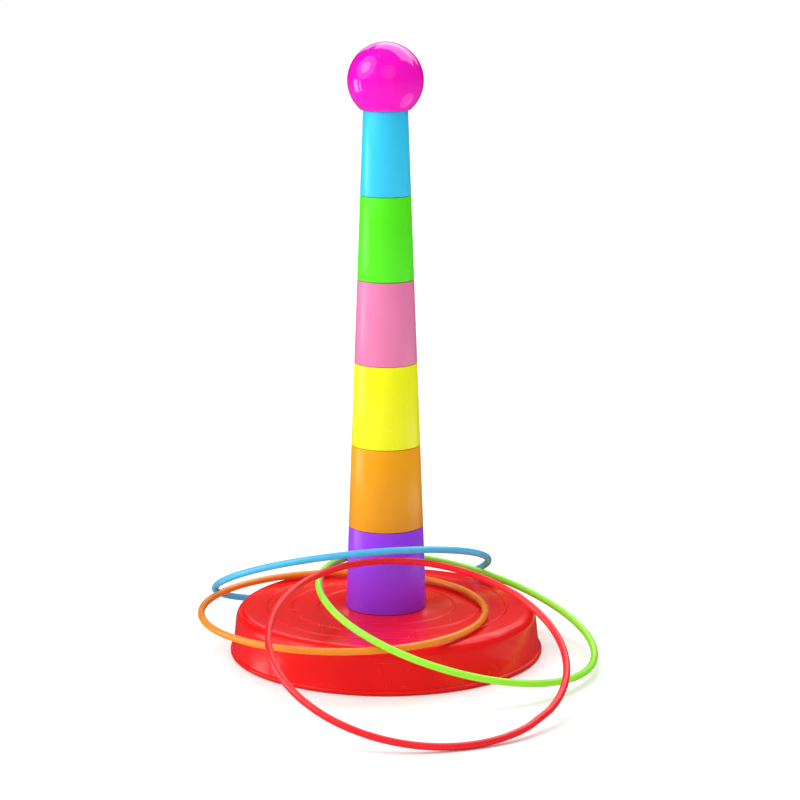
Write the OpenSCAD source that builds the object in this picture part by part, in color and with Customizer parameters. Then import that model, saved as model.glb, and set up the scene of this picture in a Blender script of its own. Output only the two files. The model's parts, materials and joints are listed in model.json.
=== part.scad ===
/* [Base] */
// Radius of the base at its lip
base_r = 92.5; // [86:0.5:100]
// Height of the base's flat top
base_h = 26.8; // [24:0.1:30]
// Radius of the rounded shoulder between the top and the skirt
shoulder_r = 6.5; // [4:0.5:8]
// Draft of the skirt, in degrees
skirt_draft = 6; // [3:0.5:8]
// Height of the lip that runs round the foot of the skirt
lip_h = 2.6; // [2:0.1:4]
// How far the lip stands out from the skirt
lip_w = 1.4; // [0.8:0.1:2]
// Wall thickness of the base
base_wall = 2.2; // [1.8:0.1:3]

/* [Ridges on the base] */
// Radius of the innermost ridge
ridge_first_r = 40.6; // [38:0.2:42]
// Distance from one ridge to the next
ridge_pitch = 15.3; // [14:0.1:16]
// Height of each ridge
ridge_h = 0.5; // [0.3:0.1:0.8]

/* [Tower] */
// Height that each segment adds to the tower
segment_h = 48.85; // [44:0.05:52]
// Radius of the tower where it stands on the base
tower_bottom_r = 23.8; // [23:0.1:25]
// Radius of the tower under the ball
tower_top_r = 12.9; // [12.5:0.1:13.3]
// Wall thickness of the segments
tower_wall = 1.6; // [1.4:0.1:2]
// Length of the neck that plugs into the part above
neck_h = 12; // [8:0.5:14]
// Gap left between parts that slip together
fit_gap = 0.3; // [0.3:0.05:0.5]

/* [Ball] */
// Radius of the ball
ball_r = 21.9; // [21.6:0.1:22.4]
// Height of the ball's centre above its flat foot
ball_rise = 16.6; // [16:0.1:16.8]
// Wall thickness of the ball
ball_wall = 1.8; // [1.4:0.1:2.4]

/* [Rings] */
// Radius of a ring, to the middle of its tube
ring_r = 83; // [82.8:0.1:83.2]
// Radius of the tube that a ring is bent from
tube_r = 2.05; // [2:0.05:2.2]
// Wall thickness of that tube
tube_wall = 0.8; // [0.6:0.1:0.9]
// Length of the plug that joins the tube's ends
plug_l = 18; // [12:1:24]

/* [Hidden] */
$fn = 96;

// how far a cutting shape runs past the face it cuts
over = 1;
segment_count = 6;
tower_h = segment_count * segment_h;
ridge_count = 3;
ridge_w = 1.8;
rib_count = 4;
rib_t = 1.8;
rib_depth = 8;
// radial clearance of a plug in its tube
plug_gap = 0.05;
// gap between a ring's two tube ends
joint_gap = 0.3;
lip_round = lip_h / 2;

function tower_r(z) = tower_bottom_r + (tower_top_r - tower_bottom_r) * (z - base_h) / tower_h;
function bore_r(z) = tower_r(z) - tower_wall;
function neck_r(z) = bore_r(z) - fit_gap;
function neck_bore_r(z) = neck_r(z) - tower_wall;

// the flat ring rests on the ridges, with a small gap
ridge_top_z = base_h + ridge_h + fit_gap;
// where each ring lies: x, y, height of its low side, tilt, direction of that side, turn of its joint
orange_ring_place = [-25, -21, ridge_top_z, 0, 0, 62];
green_ring_place = [41.3, -33.2, 4.15, 16.2, -21.9, 150];
red_ring_place = [17.6, -108.6, 0, 21.5, -70.4, 34];
blue_ring_place = [-20.6, 32, 0, 24.3, 104.7, 20];

// region below the shoulder and inside the drafted skirt, shrunk by t all round
module base_region(t) {
  foot_r = base_r - lip_w;
  arc_z = base_h - shoulder_r;
  arc_r = (foot_r * cos(skirt_draft) - shoulder_r - arc_z * sin(skirt_draft)) / cos(skirt_draft);
  inner_foot_r = foot_r - t / cos(skirt_draft);
  round_r = shoulder_r - t;
  polygon([
    [0, 0],
    [inner_foot_r, 0],
    [arc_r + round_r * cos(skirt_draft), arc_z + round_r * sin(skirt_draft)],
    [arc_r, arc_z],
    [arc_r, base_h - t],
    [0, base_h - t]
  ]);
  translate([arc_r, arc_z]) intersection() {
    circle(r = round_r);
    square(shoulder_r);
  }
}

module base_profile() {
  difference() {
    union() {
      base_region(0);
      square([base_r - lip_round, lip_h]);
      translate([base_r - lip_round, lip_round]) circle(r = lip_round);
      for (i = [0 : ridge_count - 1]) {
        r = ridge_first_r + i * ridge_pitch;
        polygon([
          [r - ridge_w / 2, base_h - over],
          [r + ridge_w / 2, base_h - over],
          [r + ridge_w / 2, base_h],
          [r + ridge_w / 4, base_h + ridge_h],
          [r - ridge_w / 4, base_h + ridge_h],
          [r - ridge_w / 2, base_h]
        ]);
      }
    }
    base_region(base_wall);
    square([neck_bore_r(base_h), base_h + over]);
  }
}

// collar on the base's top, which the lowest segment slips over
module neck_profile(z) {
  polygon([
    [neck_bore_r(z), z - tower_wall],
    [neck_r(z), z - tower_wall],
    [neck_r(z), z],
    [neck_r(z + neck_h), z + neck_h],
    [neck_bore_r(z + neck_h), z + neck_h],
    [neck_bore_r(z), z]
  ]);
}

module base() {
  color("red") union() {
    rotate_extrude() base_profile();
    rotate_extrude() neck_profile(base_h);
    rib_in = neck_bore_r(base_h) + 1;
    rib_out = base_r - lip_w - base_wall - shoulder_r;
    for (i = [0 : rib_count - 1]) {
      rotate([0, 0, 45 + i * 360 / rib_count])
        translate([rib_in, -rib_t / 2, base_h - base_wall - rib_depth])
          cube([rib_out - rib_in, rib_t, rib_depth + base_wall / 2]);
    }
  }
}

// one tapered tube of the tower, with an open foot and a neck at its top
module segment(index, tint) {
  seat_z = base_h + index * segment_h;
  foot_z = seat_z + fit_gap;
  top_z = seat_z + segment_h;
  color(tint) rotate_extrude() polygon([
    [bore_r(foot_z), foot_z],
    [tower_r(foot_z), foot_z],
    [tower_r(top_z), top_z],
    [neck_r(top_z), top_z],
    [neck_r(top_z + neck_h), top_z + neck_h],
    [neck_bore_r(top_z + neck_h), top_z + neck_h],
    [neck_bore_r(top_z), top_z],
    [neck_bore_r(top_z), top_z - tower_wall],
    [bore_r(top_z - tower_wall), top_z - tower_wall]
  ]);
}

// hollow ball with a flat foot and a socket for the top segment's neck
module ball() {
  foot_z = base_h + tower_h + fit_gap;
  centre_z = foot_z + ball_rise;
  socket_top_z = foot_z + neck_h + 2 * fit_gap;
  floor_t = 4;
  color("magenta") difference() {
    translate([0, 0, centre_z]) sphere(r = ball_r);
    translate([0, 0, foot_z - ball_r]) cylinder(r = 2 * ball_r, h = ball_r);
    difference() {
      translate([0, 0, centre_z]) sphere(r = ball_r - ball_wall);
      translate([0, 0, foot_z - over]) cylinder(r = 2 * ball_r, h = floor_t + over);
      translate([0, 0, foot_z]) cylinder(r = tower_r(foot_z), h = socket_top_z - foot_z);
    }
    translate([0, 0, foot_z - over])
      cylinder(r1 = bore_r(foot_z - over), r2 = bore_r(socket_top_z + over), h = socket_top_z - foot_z + 2 * over);
  }
}

// sets a ring down at its place
module placed(place) {
  tilt = place[3];
  z = place[2] + tube_r + ring_r * sin(tilt);
  translate([place[0], place[1], z])
    rotate([0, 0, place[4]])
      rotate([0, tilt, 0])
        rotate([0, 0, place[5]])
          children();
}

// a length of plastic tube bent round until its ends meet
module ring_tube(place, tint) {
  gap_angle = joint_gap / ring_r * 180 / PI;
  color(tint) placed(place)
    rotate([0, 0, gap_angle / 2])
      rotate_extrude(angle = 360 - gap_angle)
        translate([ring_r, 0]) difference() {
          circle(r = tube_r, $fn = 32);
          circle(r = tube_r - tube_wall, $fn = 32);
        }
}

// short solid plug pushed into both ends of a ring's tube
module ring_plug(place) {
  plug_angle = plug_l / ring_r * 180 / PI;
  color("white") placed(place)
    rotate([0, 0, -plug_angle / 2])
      rotate_extrude(angle = plug_angle)
        translate([ring_r, 0]) circle(r = tube_r - tube_wall - plug_gap, $fn = 24);
}

base();
segment(0, "purple");  // purple_segment
segment(1, "orange");  // orange_segment
segment(2, "yellow");  // yellow_segment
segment(3, "hotpink");  // pink_segment
segment(4, "limegreen");  // green_segment
segment(5, "deepskyblue");  // blue_segment
ball();
ring_tube(orange_ring_place, "orange");  // orange_ring
ring_tube(green_ring_place, "lime");  // green_ring
ring_tube(red_ring_place, "crimson");  // red_ring
ring_tube(blue_ring_place, "skyblue");  // blue_ring
ring_plug(orange_ring_place);  // orange_ring_plug
ring_plug(green_ring_place);  // green_ring_plug
ring_plug(red_ring_place);  // red_ring_plug
ring_plug(blue_ring_place);  // blue_ring_plug
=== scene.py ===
import json
import math

import bmesh
import bpy
from mathutils import Matrix, Vector

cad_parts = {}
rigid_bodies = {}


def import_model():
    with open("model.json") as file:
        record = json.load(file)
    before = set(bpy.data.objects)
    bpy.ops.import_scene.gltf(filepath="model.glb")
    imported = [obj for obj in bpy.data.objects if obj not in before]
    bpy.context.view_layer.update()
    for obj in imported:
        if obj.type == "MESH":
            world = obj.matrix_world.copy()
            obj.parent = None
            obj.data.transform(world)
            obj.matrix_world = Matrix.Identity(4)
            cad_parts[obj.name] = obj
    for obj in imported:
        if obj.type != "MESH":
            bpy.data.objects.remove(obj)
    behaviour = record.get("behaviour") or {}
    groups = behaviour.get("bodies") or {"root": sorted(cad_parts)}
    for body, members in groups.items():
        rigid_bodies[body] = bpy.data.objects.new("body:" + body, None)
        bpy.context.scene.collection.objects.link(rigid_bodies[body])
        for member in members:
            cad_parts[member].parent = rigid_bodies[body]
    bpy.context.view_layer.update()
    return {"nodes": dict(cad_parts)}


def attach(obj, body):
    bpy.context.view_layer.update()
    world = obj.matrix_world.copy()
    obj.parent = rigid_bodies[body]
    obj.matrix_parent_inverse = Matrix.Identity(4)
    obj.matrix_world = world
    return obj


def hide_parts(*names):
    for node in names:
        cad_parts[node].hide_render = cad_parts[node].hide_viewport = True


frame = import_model()
print("frame loaded:", len(frame["nodes"]), "nodes")

# sizes are in millimetres
mm = 0.001
# an edge sharper than this shows as an edge
sharpAngle = math.radians(32)
# points closer than this, in metres, are one point
mergeDistance = 1e-6
# how far an edge may lie from the circle it belongs to
circleSlack = 0.02
# the value that a noise varies about
noiseMiddle = 0.5


def mergeAndFaceOut(bm):
    bmesh.ops.remove_doubles(bm, verts=bm.verts[:], dist=mergeDistance)
    bmesh.ops.recalc_face_normals(bm, faces=bm.faces[:])


def finishPiece(bm, name, body, material):
    # each new piece stands in for the CAD node of its body
    mergeAndFaceOut(bm)
    mesh = bpy.data.meshes.new(name)
    bm.to_mesh(mesh)
    bm.free()
    mesh.shade_smooth()
    mesh.set_sharp_from_angle(angle=sharpAngle)
    mesh.materials.append(material)
    piece = bpy.data.objects.new(name, mesh)
    bpy.context.scene.collection.objects.link(piece)
    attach(piece, body)
    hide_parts(body)


def lathe(points, steps):
    # points: radius and height, once round the outline
    bm = bmesh.new()
    verts = [bm.verts.new((r * mm, 0, z * mm)) for r, z in points]
    edges = [bm.edges.new((verts[i], verts[(i + 1) % len(verts)])) for i in range(len(verts))]
    bmesh.ops.spin(bm, geom=verts + edges, cent=(0, 0, 0), axis=(0, 0, 1),
                   angle=2 * math.pi, steps=steps, use_merge=True)
    mergeAndFaceOut(bm)
    return bm


def circleEdges(bm, radius, height):
    def onCircle(v):
        offRadius = abs(math.hypot(v.co.x, v.co.y) / mm - radius)
        offHeight = abs(v.co.z / mm - height)
        return offRadius < circleSlack and offHeight < circleSlack

    return [edge for edge in bm.edges if all(onCircle(v) for v in edge.verts)]


def roundOff(bm, circles):
    # circles: radius, height, how far the rounding reaches, pieces in it
    for radius, height, reach, pieces in circles:
        bmesh.ops.bevel(bm, geom=circleEdges(bm, radius, height), affect="EDGES",
                        offset=reach * mm, offset_type="OFFSET", segments=pieces,
                        profile=0.5, material=-1, clamp_overlap=True)


class Val:
    # a number that varies over a surface, for sums written as plain expressions
    def __init__(self, nodes, socket):
        self.nodes, self.socket = nodes, socket

    def math(self, operation, first, second):
        return self.nodes.add("ShaderNodeMath", {"operation": operation}, {0: first, 1: second})

    def __add__(self, other):
        return self.math("ADD", self, other)

    def __radd__(self, other):
        return self.math("ADD", other, self)

    def __sub__(self, other):
        return self.math("SUBTRACT", self, other)

    def __rsub__(self, other):
        return self.math("SUBTRACT", other, self)

    def __mul__(self, other):
        return self.math("MULTIPLY", self, other)

    def __rmul__(self, other):
        return self.math("MULTIPLY", other, self)

    def between(self, low, high):
        # 0 up to low and 1 from high, with a soft step between them
        return self.nodes.add("ShaderNodeMapRange", {"interpolation_type": "SMOOTHSTEP"},
                              {"Value": self, "From Min": low, "From Max": high})


class Nodes:
    # the nodes of one material or world
    def __init__(self, owner):
        owner.use_nodes = True
        self.tree = owner.node_tree

    def add(self, kind, settings, sockets, out=0):
        node = self.tree.nodes.new(kind)
        for key, value in settings.items():
            setattr(node, key, value)
        self.put(node, sockets)
        return Val(self, node.outputs[out])

    def put(self, node, sockets):
        # sockets: name or number, with a value or a Val
        for key, value in sockets.items():
            if isinstance(value, Val):
                self.tree.links.new(value.socket, node.inputs[key])
            else:
                node.inputs[key].default_value = value

    def place(self):
        # where a point lies on the object
        return self.add("ShaderNodeTexCoord", {}, {}, out="Object")

    def noise(self, scale, detail=2, roughness=0.5, stretch=(1, 1, 1)):
        where = self.add("ShaderNodeMapping", {}, {"Vector": self.place(), "Scale": stretch})
        return self.add("ShaderNodeTexNoise", {},
                        {"Vector": where, "Scale": scale, "Detail": detail, "Roughness": roughness})

    def mixColour(self, amount, first, second):
        return self.add("ShaderNodeMix", {"data_type": "RGBA"},
                        {0: amount, 6: first, 7: second}, out=2)


def tint(colour, factor=1):
    return tuple(min(1.0, c * factor) for c in colour) + (1,)


def plasticLook(colour, **changes):
    look = {
        # dye: how much it clouds, and where the clouds begin and end in the noise
        "colour": colour, "cloud": 0.035, "cloudScale": 26, "cloudSpan": (0.3, 0.7),
        # hairline scuffs, in patches: scale, stretch, faintest and fullest of each way they run
        "scuff": 0.06, "scuffColour": tuple(min(1, c * 1.3 + 0.1) for c in colour),
        "hairlines": ((900, (1, 0.04, 0.12), (0.66, 0.74)), (800, (0.05, 1, 0.3), (0.67, 0.75))),
        "patchScale": 38, "patchSpan": (0.5, 0.72),
        # gloss
        "roughness": 0.24, "cloudRoughness": 0.06, "fleckRoughness": 0.03,
        "ior": 1.49, "coat": 0.1, "coatRoughness": 0.12, "shine": 0.5,
        # orange peel with fine flecks on it
        "peelScale": 420, "peel": 0.02, "fleckScale": 1400, "fleckBump": 0.15, "bumpStrength": 0.5,
    }
    look.update(changes)
    return look


def mouldedPlastic(name, look):
    material = bpy.data.materials.new(name)
    n = Nodes(material)
    cloud = n.noise(look["cloudScale"], detail=4, roughness=0.55)
    fleck = n.noise(look["fleckScale"], roughness=0.6)
    peel = n.noise(look["peelScale"])
    along, across = [n.noise(scale, stretch=stretch).between(*span)
                     for scale, stretch, span in look["hairlines"]]
    patch = n.noise(look["patchScale"]).between(*look["patchSpan"])
    scuff = (along + across) * patch
    dye = n.mixColour(cloud.between(*look["cloudSpan"]), tint(look["colour"], 1 - look["cloud"]),
                      tint(look["colour"], 1 + look["cloud"]))
    roughness = (look["roughness"] + (cloud - noiseMiddle) * look["cloudRoughness"]
                 + fleck * look["fleckRoughness"] + scuff * look["scuff"])
    height = peel + fleck * look["fleckBump"] - scuff * look["scuff"]
    bump = n.add("ShaderNodeBump", {}, {"Height": height, "Distance": look["peel"] * mm,
                                        "Strength": look["bumpStrength"]})
    n.put(n.tree.nodes["Principled BSDF"], {
        "Base Color": n.mixColour(scuff * look["scuff"], dye, tint(look["scuffColour"])),
        "Roughness": roughness, "Normal": bump, "IOR": look["ior"],
        "Specular IOR Level": look["shine"], "Coat Weight": look["coat"],
        "Coat Roughness": look["coatRoughness"],
    })
    return material


base = {
    "lipRadius": 92.5, "lipHeight": 2.6, "footRadius": 91.1, "height": 26.8,
    "draft": 6, "wall": 2.2,
    "ridgeRadii": (40.6, 55.9, 71.2), "ridgeWidth": 1.8, "ridgeHeight": 0.5,
    "collarRadius": 21.9, "collarBore": 20.3, "collarTop": 38.8, "collarTaper": 0.446,
    # ribs: how far their ends stay off the bore and the skirt, and how deep they run into the top
    "ribs": 4, "ribTurn": 45, "ribThickness": 1.8, "ribDepth": 8, "ribOverlap": 1,
    "ribStart": 0.6, "ribEnd": 6.5,
    # roundings: reach and pieces
    "shoulderRound": (5.85, 12), "ridgeRound": (0.2, 2), "lipFootRound": (1.2, 4),
    "lipTopRound": (1.0, 4), "lipCorner": (0.35, 2), "innerCorner": (2.5, 4),
    "collarCorner": (0.5, 2), "collarTopRound": (0.4, 2),
    "steps": 224,
    "look": plasticLook((0.84, 0.006, 0.006), coat=0.25, coatRoughness=0.06, cloudScale=14,
                        shine=0.35, peel=0.03, peelScale=260),
}


def makeBase():
    b = base
    lean = math.tan(math.radians(b["draft"]))
    top, under = b["height"], b["height"] - b["wall"]
    shoulder = b["footRadius"] - top * lean
    lipJoin = b["footRadius"] - b["lipHeight"] * lean
    innerFoot = b["footRadius"] - b["wall"] / math.cos(math.radians(b["draft"]))
    innerTop = innerFoot - under * lean
    points = [(b["collarBore"], under), (innerTop, under), (innerFoot, 0), (b["lipRadius"], 0),
              (b["lipRadius"], b["lipHeight"]), (lipJoin, b["lipHeight"]), (shoulder, top)]
    roundings = [(shoulder, top, *b["shoulderRound"])]
    half, crest = b["ridgeWidth"] / 2, top + b["ridgeHeight"]
    for r in reversed(b["ridgeRadii"]):
        points += [(r + half, top), (r + half / 2, crest), (r - half / 2, crest), (r - half, top)]
        roundings += [(r + side * half / 2, crest, *b["ridgeRound"]) for side in (1, -1)]
    points += [(b["collarRadius"], top), (b["collarRadius"] - b["collarTaper"], b["collarTop"]),
               (b["collarBore"] - b["collarTaper"], b["collarTop"])]
    roundings += [
        (b["lipRadius"], 0, *b["lipFootRound"]),
        (b["lipRadius"], b["lipHeight"], *b["lipTopRound"]),
        (lipJoin, b["lipHeight"], *b["lipCorner"]),
        (innerTop, under, *b["innerCorner"]),
        (b["collarRadius"], top, *b["collarCorner"]),
        (b["collarRadius"] - b["collarTaper"], b["collarTop"], *b["collarTopRound"]),
    ]
    bm = lathe(points, b["steps"])
    roundOff(bm, roundings)
    start, end = b["collarBore"] + b["ribStart"], b["footRadius"] - b["wall"] - b["ribEnd"]
    ribSize = Vector((end - start, b["ribThickness"], b["ribDepth"] + b["ribOverlap"])) * mm
    ribPlace = Vector(((start + end) / 2, 0, under + (b["ribOverlap"] - b["ribDepth"]) / 2)) * mm
    for i in range(b["ribs"]):
        turn = Matrix.Rotation(math.radians(b["ribTurn"] + i * 360 / b["ribs"]), 3, "Z")
        made = bmesh.ops.create_cube(bm, size=1)["verts"]
        bmesh.ops.scale(bm, vec=ribSize, verts=made)
        bmesh.ops.translate(bm, vec=ribPlace, verts=made)
        bmesh.ops.rotate(bm, cent=(0, 0, 0), matrix=turn, verts=made)
    finishPiece(bm, "baseMoulding", "base", mouldedPlastic("baseRedPlastic", b["look"]))


makeBase()
print("base made")


tower = {
    "bottomRadius": 23.8, "topRadius": 12.9, "segments": 6, "segmentHeight": 48.85,
    "wall": 1.6, "neck": 12, "gap": 0.3,
    # roundings: reach and pieces
    "edge": (0.3, 2), "neckEdge": (0.5, 2), "neckBoreEdge": (0.4, 2),
    "steps": 144,
    # from the bottom up
    "colours": {
        "purple": (0.33, 0.05, 1.0), "orange": (0.87, 0.36, 0.004), "yellow": (0.88, 0.92, 0.004),
        "pink": (0.80, 0.205, 0.41), "green": (0.092, 0.85, 0.007), "blue": (0.030, 0.58, 0.90),
    },
}


def towerRadius(z):
    share = (z - base["height"]) / (tower["segments"] * tower["segmentHeight"])
    return tower["bottomRadius"] + (tower["topRadius"] - tower["bottomRadius"]) * share


def makeSegment(index, colourName):
    t = tower
    seat = base["height"] + index * t["segmentHeight"]
    foot, top = seat + t["gap"], seat + t["segmentHeight"]
    under, tip = top - t["wall"], top + t["neck"]

    def bore(z):
        return towerRadius(z) - t["wall"]

    def neckOut(z):
        return bore(z) - t["gap"]

    def neckIn(z):
        return neckOut(z) - t["wall"]

    points = [(bore(foot), foot), (towerRadius(foot), foot), (towerRadius(top), top),
              (neckOut(top), top), (neckOut(tip), tip), (neckIn(tip), tip), (neckIn(top), under),
              (bore(under), under)]
    bm = lathe(points, t["steps"])
    roundOff(bm, [(towerRadius(foot), foot, *t["edge"]), (towerRadius(top), top, *t["edge"]),
                  (bore(foot), foot, *t["edge"]), (neckOut(tip), tip, *t["neckEdge"]),
                  (neckIn(tip), tip, *t["neckBoreEdge"])])
    name = colourName + "Segment"
    plastic = mouldedPlastic(name + "Plastic", plasticLook(t["colours"][colourName]))
    finishPiece(bm, name, colourName + "_segment", plastic)


for index, colourName in enumerate(tower["colours"]):
    makeSegment(index, colourName)
print("tower made")


ball = {
    "radius": 21.9, "rise": 16.6, "socketDepth": 12.6, "socketTaper": 0.45,
    # roundings: reach and pieces
    "footEdge": (0.45, 3), "socketEdge": (0.3, 2),
    "columns": 128, "rows": 96,
    "look": plasticLook((0.95, 0.006, 0.54), roughness=0.1, coat=0.6, coatRoughness=0.03,
                        cloud=0.02, scuff=0.03, peel=0.008),
}


def makeBall():
    b = ball
    foot = base["height"] + tower["segments"] * tower["segmentHeight"] + tower["gap"]
    socket = towerRadius(foot) - tower["wall"]
    rimRadius = math.sqrt(b["radius"] ** 2 - b["rise"] ** 2)
    bm = bmesh.new()
    bmesh.ops.create_uvsphere(bm, u_segments=b["columns"], v_segments=b["rows"],
                              radius=b["radius"] * mm)
    bmesh.ops.translate(bm, vec=(0, 0, (foot + b["rise"]) * mm), verts=bm.verts[:])
    bmesh.ops.bisect_plane(bm, geom=bm.verts[:] + bm.edges[:] + bm.faces[:],
                           plane_co=(0, 0, foot * mm), plane_no=(0, 0, 1), clear_inner=True)

    def carryOn(edges, scale, lift):
        # draws the open edge on, inwards and up, and gives the new open edge
        grown = bmesh.ops.extrude_edge_only(bm, edges=edges)["geom"]
        verts = [g for g in grown if isinstance(g, bmesh.types.BMVert)]
        bmesh.ops.scale(bm, vec=(scale, scale, 1), verts=verts)
        bmesh.ops.translate(bm, vec=(0, 0, lift * mm), verts=verts)
        return [g for g in grown if isinstance(g, bmesh.types.BMEdge) and g.is_boundary]

    mouth = carryOn([e for e in bm.edges if e.is_boundary], socket / rimRadius, 0)
    end = carryOn(mouth, (socket - b["socketTaper"]) / socket, b["socketDepth"])
    bmesh.ops.contextual_create(bm, geom=end)
    bmesh.ops.recalc_face_normals(bm, faces=bm.faces[:])
    roundOff(bm, [(rimRadius, foot, *b["footEdge"]), (socket, foot, *b["socketEdge"])])
    finishPiece(bm, "ballKnob", "ball", mouldedPlastic("ballPlastic", b["look"]))


makeBall()
print("ball made")


rings = {
    "radius": 83, "tube": 2.05, "tubeWall": 0.8, "jointGap": 0.3, "plugLength": 18,
    # how far the surface stands inside the CAD tube
    "inset": 0.02,
    # faces round the outer and the inner wall, and along the ring
    "outerSides": 24, "innerSides": 16, "steps": 232,
    "finish": {"roughness": 0.26, "coat": 0.35, "coatRoughness": 0.15,
               "cloudScale": 40, "peelScale": 700},
    # place: x, y, height of the low side, tilt, direction of the low side, turn of the joint
    "each": {
        "orange": {"place": (-25, -21, 27.6, 0, 0, 62),
                   "slot": "ring_orange", "colour": (0.88, 0.26, 0.014)},
        "green": {"place": (41.3, -33.2, 4.15, 16.2, -21.9, 150),
                  "slot": "ring_lime", "colour": (0.33, 0.93, 0.035)},
        "red": {"place": (17.6, -108.6, 0, 21.5, -70.4, 34),
                "slot": "ring_red", "colour": (0.88, 0.014, 0.022)},
        "blue": {"place": (-20.6, 32, 0, 24.3, 104.7, 20),
                 "slot": "ring_blue", "colour": (0.07, 0.50, 0.83)},
    },
}


def sweepWall(bm, radius, sides, gap):
    # spins one wall of the tube round and gives the edges at its two ends
    made = bmesh.ops.create_circle(bm, segments=sides, radius=radius * mm)["verts"]
    upright = Matrix.Rotation(math.pi / 2, 3, "X")
    bmesh.ops.rotate(bm, cent=(0, 0, 0), matrix=upright, verts=made)
    bmesh.ops.translate(bm, vec=(rings["radius"] * mm, 0, 0), verts=made)
    bmesh.ops.rotate(bm, cent=(0, 0, 0), matrix=Matrix.Rotation(gap / 2, 3, "Z"), verts=made)
    startEdges = list(dict.fromkeys(e for v in made for e in v.link_edges))
    swept = bmesh.ops.spin(bm, geom=made + startEdges, cent=(0, 0, 0), axis=(0, 0, 1),
                           angle=2 * math.pi - gap, steps=rings["steps"])
    return startEdges, [g for g in swept["geom_last"] if isinstance(g, bmesh.types.BMEdge)]


def straightenJoint(bm):
    # the plug inside holds the joint straight, so the hoop has a short chord there
    half = math.asin(rings["plugLength"] / 2 / rings["radius"])
    for v in bm.verts:
        angle = math.atan2(v.co.y, v.co.x)
        if abs(angle) < half:
            pull = rings["radius"] * (math.cos(half) / math.cos(angle) - 1) * mm
            v.co.x += pull * math.cos(angle)
            v.co.y += pull * math.sin(angle)


def makeRing(colourName):
    ring = rings["each"][colourName]
    x, y, low, tilt, direction, turn = ring["place"]
    z = low + rings["tube"] + rings["radius"] * math.sin(math.radians(tilt))
    gap = rings["jointGap"] / rings["radius"]
    bm = bmesh.new()
    outer = sweepWall(bm, rings["tube"] - rings["inset"], rings["outerSides"], gap)
    inner = sweepWall(bm, rings["tube"] - rings["tubeWall"], rings["innerSides"], gap)
    for outerEnd, innerEnd in zip(outer, inner):
        bmesh.ops.bridge_loops(bm, edges=outerEnd + innerEnd)
    straightenJoint(bm)
    place = (Matrix.Translation(Vector((x, y, z)) * mm)
             @ Matrix.Rotation(math.radians(direction), 4, "Z")
             @ Matrix.Rotation(math.radians(tilt), 4, "Y")
             @ Matrix.Rotation(math.radians(turn), 4, "Z"))
    bmesh.ops.transform(bm, matrix=place, verts=bm.verts[:])
    plastic = mouldedPlastic(colourName + "RingPlastic",
                             plasticLook(ring["colour"], **rings["finish"]))
    finishPiece(bm, colourName + "RingTube", colourName + "_ring", plastic)
    # the plug keeps its CAD shape and wears its ring's plastic
    for slot in bpy.data.objects[colourName + "_ring_plug"].material_slots:
        slot.material = plastic


for colourName in rings["each"]:
    makeRing(colourName)
print("rings made")


room = {
    "floor": 6.0, "floorDrop": 0.0002,
    # the paper's own colour, then the painted shade it wears as seen in a gloss
    "paper": (0.93, 0.93, 0.93), "paperShadeInGloss": (0.07, 0.07, 0.07),
    "paperRoughness": 0.85, "paperShine": 0.1,
    # the far paper's own light, and how far off it begins and is full
    "glow": (0.6, 0.6, 0.6), "glowSpan": (0.35, 2.2),
    # brightness of the sky as it lights the object and as the camera sees it
    "sky": 0.53, "skySeen": 1.0,
}


def makeFloor():
    bm = bmesh.new()
    bmesh.ops.create_grid(bm, x_segments=1, y_segments=1, size=room["floor"])
    bmesh.ops.translate(bm, vec=(0, 0, -room["floorDrop"]), verts=bm.verts[:])
    mesh = bpy.data.meshes.new("floor")
    bm.to_mesh(mesh)
    bm.free()
    floor = bpy.data.objects.new("floor", mesh)
    bpy.context.scene.collection.objects.link(floor)
    material = bpy.data.materials.new("floorPaper")
    n = Nodes(material)
    # painted shade: the paper turns dark in a gloss, as if a black flag stood beside it
    gloss = n.add("ShaderNodeLightPath", {}, {}, out="Is Glossy Ray")
    # the far paper has its own light, so it stays white where the lamps fall off
    far = n.add("ShaderNodeVectorMath", {"operation": "LENGTH"}, {0: n.place()}, out="Value")
    glowing = far.between(*room["glowSpan"]) * (1 - gloss)
    n.put(n.tree.nodes["Principled BSDF"], {
        "Base Color": n.mixColour(gloss, tint(room["paper"]), tint(room["paperShadeInGloss"])),
        "Emission Color": n.mixColour(glowing, (0, 0, 0, 1), tint(room["glow"])),
        "Emission Strength": 1.0, "Roughness": room["paperRoughness"],
        "Specular IOR Level": room["paperShine"],
    })
    mesh.materials.append(material)


def makeSky():
    world = bpy.data.worlds.new("studio")
    n = Nodes(world)
    seen = n.add("ShaderNodeLightPath", {}, {}, out="Is Camera Ray")
    brightness = n.add("ShaderNodeMix", {}, {0: seen, 2: room["sky"], 3: room["skySeen"]})
    n.put(n.tree.nodes["Background"], {"Color": (1, 1, 1, 1), "Strength": brightness})
    bpy.context.scene.world = world
    # only the lamps show in a gloss
    world.cycles_visibility.glossy = False


makeFloor()
makeSky()


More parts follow.
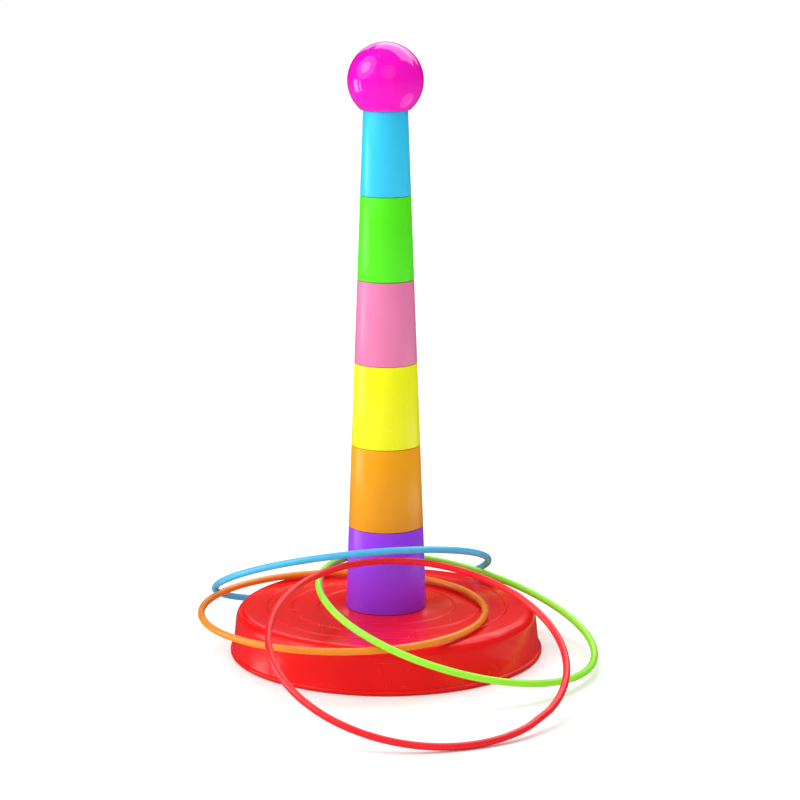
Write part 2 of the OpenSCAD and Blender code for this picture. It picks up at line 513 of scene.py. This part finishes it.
# where each lamp stands, how wide and high it is, and how bright its face is
lamps = {
    "keyCore": {"at": (-1.21, -0.30, 1.16), "size": (0.75, 0.75), "face": 2.2, "round": True},
    "keySoft": {"at": (-1.25, -0.31, 1.19), "size": (1.80, 1.80), "face": 0.8, "round": True},
    "leftFill": {"at": (-1.35, -1.45, 1.10), "size": (1.20, 1.20), "face": 3.4, "round": True,
                 "gloss": False},
    "topFill": {"at": (-0.25, 0.10, 1.90), "size": (1.00, 1.00), "face": 3.8, "round": True,
                "gloss": False},
    "overhead": {"at": (0.50, 0.75, 1.42), "size": (1.90, 1.10), "face": 1.6, "round": False},
    "backPanel": {"at": (0.35, 1.60, 1.22), "size": (2.20, 0.90), "face": 0.9, "round": False},
    "leftPanel": {"at": (-0.80, 0.15, 0.18), "size": (0.24, 0.36), "face": 2.8, "round": False},
    "leftStrip": {"at": (-0.80, -0.10, 0.18), "size": (0.09, 0.36), "face": 2.8, "round": False},
    "front": {"at": (0.17, -1.13, 0.94), "size": (1.05, 1.05), "face": 0.26, "round": True},
    "lowRight": {"at": (0.42, 0.05, 0.004), "size": (0.46, 0.40), "face": 0.6, "round": True,
                 "aim": (0.42, 0.05, 1)},
}
# what a lamp points at, unless it says another aim
lampAim = (0, 0, 0.25)


def makeLamps():
    for name, lamp in lamps.items():
        data = bpy.data.lights.new(name, "AREA")
        data.shape = "ELLIPSE" if lamp["round"] else "RECTANGLE"
        data.size, data.size_y = lamp["size"]
        area = data.size * data.size_y * (math.pi / 4 if lamp["round"] else 1)
        data.energy = lamp["face"] * math.pi * area
        light = bpy.data.objects.new(name, data)
        light.location = lamp["at"]
        aim = Vector(lamp.get("aim", lampAim)) - light.location
        light.rotation_euler = aim.to_track_quat("-Z", "Y").to_euler()
        light.visible_camera = False
        light.visible_glossy = lamp.get("gloss", True)
        bpy.context.scene.collection.objects.link(light)


makeLamps()


camera = {"at": (0, -1.4748, 0.45107), "down": 11.506, "right": 0.321, "lens": 115.9,
          "sensor": 36, "nearest": 0.05, "furthest": 20}


def makeCamera():
    data = bpy.data.cameras.new("camera")
    data.lens, data.sensor_width = camera["lens"], camera["sensor"]
    data.clip_start, data.clip_end = camera["nearest"], camera["furthest"]
    view = bpy.data.objects.new("camera", data)
    view.location = camera["at"]
    view.rotation_euler = (math.radians(90 - camera["down"]), 0, -math.radians(camera["right"]))
    bpy.context.scene.collection.objects.link(view)
    bpy.context.scene.camera = view


makeCamera()
bpy.context.scene.view_settings.view_transform = "Standard"
print("room, lamps and camera made")
